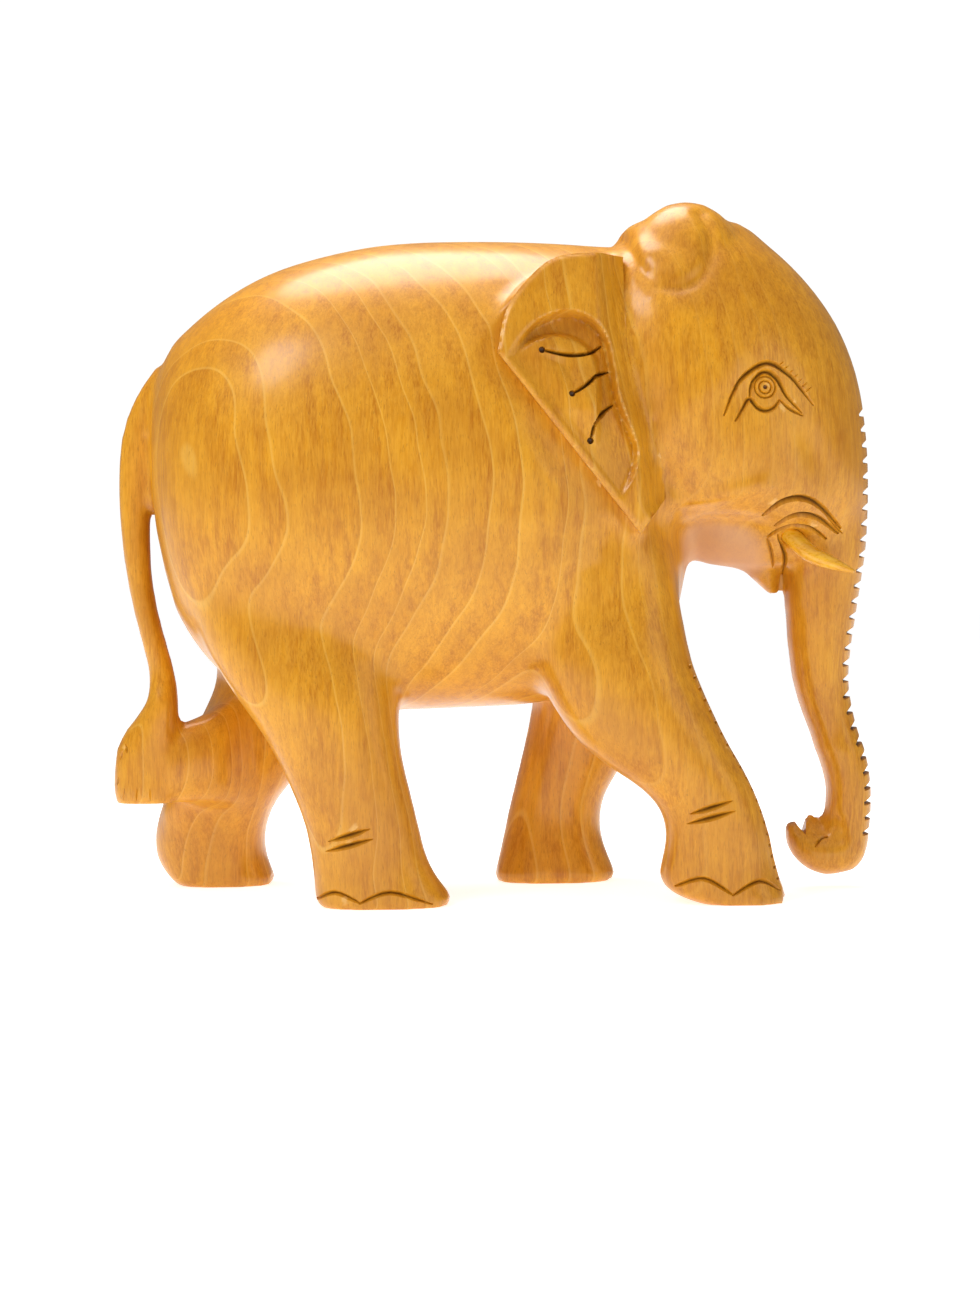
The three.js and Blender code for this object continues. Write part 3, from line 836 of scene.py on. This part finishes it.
def ramp(tree, source, start, end, low_value=0.0, high_value=1.0):
    """A smooth step from one value to another as source goes from start to end."""
    node = tree.nodes.new("ShaderNodeMapRange")
    node.interpolation_type = "SMOOTHSTEP"
    for name, value in (("From Min", start), ("From Max", end), ("To Min", low_value), ("To Max", high_value)):
        node.inputs[name].default_value = value
    tree.links.new(source, node.inputs["Value"])
    return node.outputs["Result"]


def mix_colour(tree, factor, first, second, blend="MIX"):
    node = tree.nodes.new("ShaderNodeMix")
    node.data_type = "RGBA"
    node.blend_type = blend
    for socket, value in zip((node.inputs[0], node.inputs[6], node.inputs[7]), (factor, first, second)):
        if isinstance(value, (int, float, tuple)):
            socket.default_value = value
        else:
            tree.links.new(value, socket)
    return node.outputs[2]


def new_group(name, inputs, outputs):
    """A shader node group with (name, kind, default) inputs and (name, kind) outputs."""
    group = bpy.data.node_groups.new(name, "ShaderNodeTree")
    for label, kind, default in inputs:
        socket = group.interface.new_socket(label, in_out="INPUT", socket_type="NodeSocket" + kind)
        socket.default_value = default
    for label, kind in outputs:
        group.interface.new_socket(label, in_out="OUTPUT", socket_type="NodeSocket" + kind)
    return group, group.nodes.new("NodeGroupInput").outputs, group.nodes.new("NodeGroupOutput").inputs


def use_group(tree, group, **values):
    node = tree.nodes.new("ShaderNodeGroup")
    node.node_tree = group
    for name, value in values.items():
        socket = node.inputs[name.replace("_", " ")]
        if isinstance(value, (int, float, tuple)):
            socket.default_value = value
        else:
            tree.links.new(value, socket)
    return node.outputs


def millimetres(tree):
    """The place in the block, in millimetres."""
    place = add_node(tree, "TexCoord").outputs["Object"]
    scaled = add_node(tree, "VectorMath", {"Vector": place}, {"operation": "SCALE"})
    scaled.inputs["Scale"].default_value = 1 / unit
    return scaled.outputs["Vector"]


# %% [markdown]
# ### Growth rings
# A block this deep was split from one side of a log, so its rings are nearly flat sheets. Where a sheet cuts
# the round rump it shows as a nested oval, and along the flank as tall arcs. The group measures how deep a
# point lies along the sheets' common direction, bends that a little with noise, and turns it into bands that
# brighten slowly and end sharply, as a year's growth does.

# %% Growth rings group
ring_group, ring_in, ring_out = new_group(
    "growth_rings",
    [
        ("Place", "Vector", (0, 0, 0)),
        ("Direction", "Vector", (0, 0, 1)),
        ("Spacing", "Float", 6.0),
        ("Wander", "Float", 3.0),
    ],
    [("Band", "Float"), ("Line", "Float"), ("Year", "Float")],
)
bend = add_node(ring_group, "TexNoise", {"Vector": ring_in["Place"]}, Scale=0.028, Detail=2.0, Roughness=0.45)
place_and_direction = {0: ring_in["Place"], 1: ring_in["Direction"]}
depth = add_node(ring_group, "VectorMath", place_and_direction, {"operation": "DOT_PRODUCT"})
centred = math_node(ring_group, "SUBTRACT", bend.outputs["Fac"], 0.5)
wandering = math_node(ring_group, "MULTIPLY", centred, ring_in["Wander"])
bent = math_node(ring_group, "ADD", depth.outputs["Value"], wandering)
uneven = add_node(ring_group, "TexNoise", {"W": bent}, {"noise_dimensions": "1D"}, Scale=0.13, Detail=1.0)
shifted = math_node(ring_group, "ADD", bent, math_node(ring_group, "MULTIPLY", uneven.outputs["Fac"], 9.0))
years = math_node(ring_group, "DIVIDE", shifted, ring_in["Spacing"])
phase = math_node(ring_group, "FRACT", years)
rise = ramp(ring_group, phase, 0.25, 0.93)
fall = ramp(ring_group, phase, 0.93, 1.0, 1.0, 0.0)
band = math_node(ring_group, "MULTIPLY", rise, fall)
line_start = ramp(ring_group, phase, 0.9, 0.96)
line_end = ramp(ring_group, phase, 0.97, 1.0, 1.0, 0.0)
line = math_node(ring_group, "MULTIPLY", line_start, line_end)
whole_years = math_node(ring_group, "FLOOR", years)
year = add_node(ring_group, "TexWhiteNoise", {"W": whole_years}, {"noise_dimensions": "1D"})
ring_group.links.new(band, ring_out["Band"])
ring_group.links.new(line, ring_out["Line"])
ring_group.links.new(year.outputs["Value"], ring_out["Year"])

# %% [markdown]
# ### Fibres and pores
# Fibres are streaks a few millimetres long and a fraction wide, along the tree's axis, which stands upright in
# this block. Pores are short dark flecks of the same direction. Both come from noise squeezed along one axis:
# the streaks as they are, the pores cut off so that only the peaks show.

# %% Fibre group
fibre_group, fibre_in, fibre_out = new_group(
    "wood_fibres",
    [("Place", "Vector", (0, 0, 0)), ("Squeeze", "Vector", (1, 1, 0.1)), ("Size", "Float", 1.0)],
    [("Streak", "Float"), ("Fine", "Float"), ("Pore", "Float")],
)
place_and_squeeze = {0: fibre_in["Place"], 1: fibre_in["Squeeze"]}
drawn = add_node(fibre_group, "VectorMath", place_and_squeeze, {"operation": "MULTIPLY"})
drawn_and_size = {"Vector": drawn.outputs["Vector"], "Scale": fibre_in["Size"]}
sized = add_node(fibre_group, "VectorMath", drawn_and_size, {"operation": "SCALE"})
along = sized.outputs["Vector"]
broad = add_node(fibre_group, "TexNoise", {"Vector": along}, Scale=0.55, Detail=3.0, Roughness=0.6)
fine = add_node(fibre_group, "TexNoise", {"Vector": along}, Scale=2.3, Detail=3.0, Roughness=0.65)
pore = add_node(fibre_group, "TexNoise", {"Vector": along}, Scale=5.2, Detail=1.0, Roughness=0.5)
fibre_group.links.new(ramp(fibre_group, broad.outputs["Fac"], 0.3, 0.7), fibre_out["Streak"])
fibre_group.links.new(ramp(fibre_group, fine.outputs["Fac"], 0.32, 0.68), fibre_out["Fine"])
fibre_group.links.new(ramp(fibre_group, pore.outputs["Fac"], 0.62, 0.72), fibre_out["Pore"])

# %% [markdown]
# ### Painted edge highlight, crease shade and smudges
# The group reads how sharply the surface turns and gives one mask for proud edges, where a highlight is
# painted, and one for creases, where shade is painted over the lacquer that gathers there. Both are broken up
# with noise. A third mask is broad noise for smudges in the wood's tone.

# %% Painted light and smudge group
light_and_smudge_group, light_and_smudge_in, light_and_smudge_out = new_group(
    "painted_light_and_smudge",
    [("Place", "Vector", (0, 0, 0)), ("Break Up", "Float", 0.35)],
    [("Edge", "Float"), ("Crease", "Float"), ("Smudge", "Float")],
)
turn = add_node(light_and_smudge_group, "NewGeometry").outputs["Pointiness"]
patchy_noise = add_node(light_and_smudge_group, "TexNoise", {"Vector": light_and_smudge_in["Place"]}, Scale=0.5, Detail=3.0)
patchy_centred = math_node(light_and_smudge_group, "SUBTRACT", patchy_noise.outputs["Fac"], 0.5)
broken = math_node(light_and_smudge_group, "MULTIPLY", patchy_centred, light_and_smudge_in["Break Up"])
# Proud edges: the mask for a painted highlight.
edge_for_highlight = math_node(light_and_smudge_group, "ADD", turn, math_node(light_and_smudge_group, "MULTIPLY", broken, 0.12))
edge_highlight = ramp(light_and_smudge_group, edge_for_highlight, 0.53, 0.62)
# Creases: the mask for painted shade, over the lacquer that gathers there.
crease_for_shade = math_node(light_and_smudge_group, "ADD", turn, math_node(light_and_smudge_group, "MULTIPLY", broken, 0.1))
crease_shade = ramp(light_and_smudge_group, crease_for_shade, 0.47, 0.36)
smudge = add_node(light_and_smudge_group, "TexNoise", {"Vector": light_and_smudge_in["Place"]}, Scale=0.07, Detail=4.0, Roughness=0.6)
light_and_smudge_group.links.new(edge_highlight, light_and_smudge_out["Edge"])
light_and_smudge_group.links.new(crease_shade, light_and_smudge_out["Crease"])
light_and_smudge_group.links.new(smudge.outputs["Fac"], light_and_smudge_out["Smudge"])

# %% [markdown]
# ### The lacquered wood
# The base is a honey colour, redder along dark streaks and paler in the growth bands. A highlight is painted
# on proud edges, and shade is painted in creases over the lacquer that gathers there. The knife cuts are
# darkened with stain and painted shade, so each vertex carries how deep it lies under the sanded skin, and the
# material reads that. Under the chin the wood was left nearly raw, so it is paler and duller there. The gloss
# is a thin clear coat over a base that is a little rough.


# %% Wood material
def start_material(name):
    material = bpy.data.materials.new(name)
    material.use_nodes = True
    tree = material.node_tree
    return material, tree, tree.nodes["Principled BSDF"]


def carved_wood():
    material, tree, shader = start_material("lacquered_wood")
    place = millimetres(tree)
    rings = use_group(tree, ring_group, Place=place, Direction=(-0.62, -0.78, -0.02), Spacing=4.2, Wander=8.0)
    fibres = use_group(tree, fibre_group, Place=place, Squeeze=(1.0, 1.0, 0.11), Size=1.25)
    light_and_smudge = use_group(tree, light_and_smudge_group, Place=place)
    apart = add_node(tree, "SeparateXYZ", {"Vector": place})
    calm = ramp(tree, apart.outputs["X"], 18, 34, 1.0, 0.3)
    colour = mix_colour(tree, fibres["Streak"], shade("#BC7408"), shade("#DC9612"))
    band = math_node(tree, "MULTIPLY", math_node(tree, "MULTIPLY", rings["Band"], 0.42), calm)
    colour = mix_colour(tree, band, colour, shade("#EBAA2C"))
    line = math_node(tree, "MULTIPLY", math_node(tree, "MULTIPLY", rings["Line"], 0.4), calm)
    colour = mix_colour(tree, line, colour, shade("#F6CC66"))
    colour = mix_colour(tree, math_node(tree, "MULTIPLY", rings["Year"], 0.18), colour, shade("#A9620C"))
    colour = mix_colour(tree, math_node(tree, "MULTIPLY", fibres["Fine"], 0.5), colour, shade("#EAAC30"))
    colour = mix_colour(tree, math_node(tree, "MULTIPLY", fibres["Pore"], 0.35), colour, shade("#8A4E0C"))
    smudge = ramp(tree, light_and_smudge["Smudge"], 0.35, 0.7)
    colour = mix_colour(tree, math_node(tree, "MULTIPLY", smudge, 0.3), colour, shade("#A25C04"))
    # Proud edges paler: a painted highlight.
    colour = mix_colour(tree, math_node(tree, "MULTIPLY", light_and_smudge["Edge"], 0.5), colour, shade("#F2C676"))
    # Creases darker: painted shade, over the lacquer that gathers there.
    colour = mix_colour(tree, math_node(tree, "MULTIPLY", light_and_smudge["Crease"], 0.55), colour, shade("#6E390A"))
    raw = add_node(tree, "Attribute", settings={"attribute_name": "raw_wood"}).outputs["Fac"]
    colour = mix_colour(tree, math_node(tree, "MULTIPLY", raw, 0.75), colour, shade("#D2A07A"))
    cut = add_node(tree, "Attribute", settings={"attribute_name": "cut_depth"}).outputs["Fac"]
    # The cuts darker with depth: stain and painted shade.
    colour = mix_colour(tree, ramp(tree, cut, 0.08, 0.95, 0.0, 0.8), colour, shade("#3E1E06"))
    tree.links.new(colour, shader.inputs["Base Color"])
    lacquer = ramp(tree, fibres["Fine"], 0.0, 1.0, 0.34, 0.44)
    dull = math_node(tree, "ADD", lacquer, math_node(tree, "MULTIPLY", raw, 0.2))
    tree.links.new(dull, shader.inputs["Roughness"])
    tree.links.new(ramp(tree, raw, 0.0, 1.0, 0.4, 0.05), shader.inputs["Coat Weight"])
    shader.inputs["Coat Roughness"].default_value = 0.2
    shader.inputs["Specular IOR Level"].default_value = 0.3
    fine_relief = math_node(tree, "MULTIPLY", fibres["Fine"], 0.35)
    streak_relief = math_node(tree, "MULTIPLY", fibres["Streak"], 0.4)
    relief = math_node(tree, "ADD", fine_relief, streak_relief)
    relief = math_node(tree, "SUBTRACT", relief, math_node(tree, "MULTIPLY", fibres["Pore"], 0.8))
    bump = add_node(tree, "Bump", {"Height": relief}, Strength=0.16, Distance=0.12 * unit)
    tree.links.new(bump.outputs["Normal"], shader.inputs["Normal"])
    return material


body.data.materials.clear()
body.data.materials.append(carved_wood())
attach(body, "root")
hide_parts("carved_body")

# %% [markdown]
# ## The tusks
# Each tusk is a small horn turned from another, yellower piece and glued into the cheek. The CAD tusk has the
# right taper and bend, so its mesh is made finer and rubbed smooth, and keeps its place. The material shares
# the fibre group and the group of painted light and smudges with the body, drawn along the tusk instead of
# upright, under a glossier coat. Its creases get painted shade.


# %% Make and colour the tusks
def tusk_wood():
    material, tree, shader = start_material("tusk_wood")
    place = millimetres(tree)
    fibres = use_group(tree, fibre_group, Place=place, Squeeze=(0.25, 1.0, 0.8), Size=1.1)
    light_and_smudge = use_group(tree, light_and_smudge_group, Place=place, Break_Up=0.5)
    colour = mix_colour(tree, fibres["Streak"], shade("#DB9208"), shade("#F0B41C"))
    colour = mix_colour(tree, math_node(tree, "MULTIPLY", fibres["Fine"], 0.3), colour, shade("#F8CE50"))
    colour = mix_colour(tree, math_node(tree, "MULTIPLY", fibres["Pore"], 0.3), colour, shade("#A4600A"))
    # Creases darker: painted shade.
    colour = mix_colour(tree, math_node(tree, "MULTIPLY", light_and_smudge["Crease"], 0.5), colour, shade("#A86406"))
    tree.links.new(colour, shader.inputs["Base Color"])
    tree.links.new(ramp(tree, fibres["Fine"], 0.0, 1.0, 0.26, 0.36), shader.inputs["Roughness"])
    shader.inputs["Coat Weight"].default_value = 0.5
    shader.inputs["Coat Roughness"].default_value = 0.12
    bump = add_node(tree, "Bump", {"Height": fibres["Fine"]}, Strength=0.12, Distance=0.08 * unit)
    tree.links.new(bump.outputs["Normal"], shader.inputs["Normal"])
    return material


tusk_material = tusk_wood()
for node in ("tusk_right", "tusk_left"):
    tusk = copy_of(node, node + "_polished")
    finer = tusk.modifiers.new("finer", "REMESH")
    finer.mode = "VOXEL"
    finer.voxel_size = 0.22 * unit
    apply_modifiers(tusk)
    rubbing = tusk.modifiers.new("rubbing", "SMOOTH")
    rubbing.iterations = 5
    apply_modifiers(tusk)
    tusk.data.shade_smooth()
    tusk.data.materials.clear()
    tusk.data.materials.append(tusk_material)
    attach(tusk, "root")
    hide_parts(node)
    print(f"{node}: {len(tusk.data.polygons)} faces")
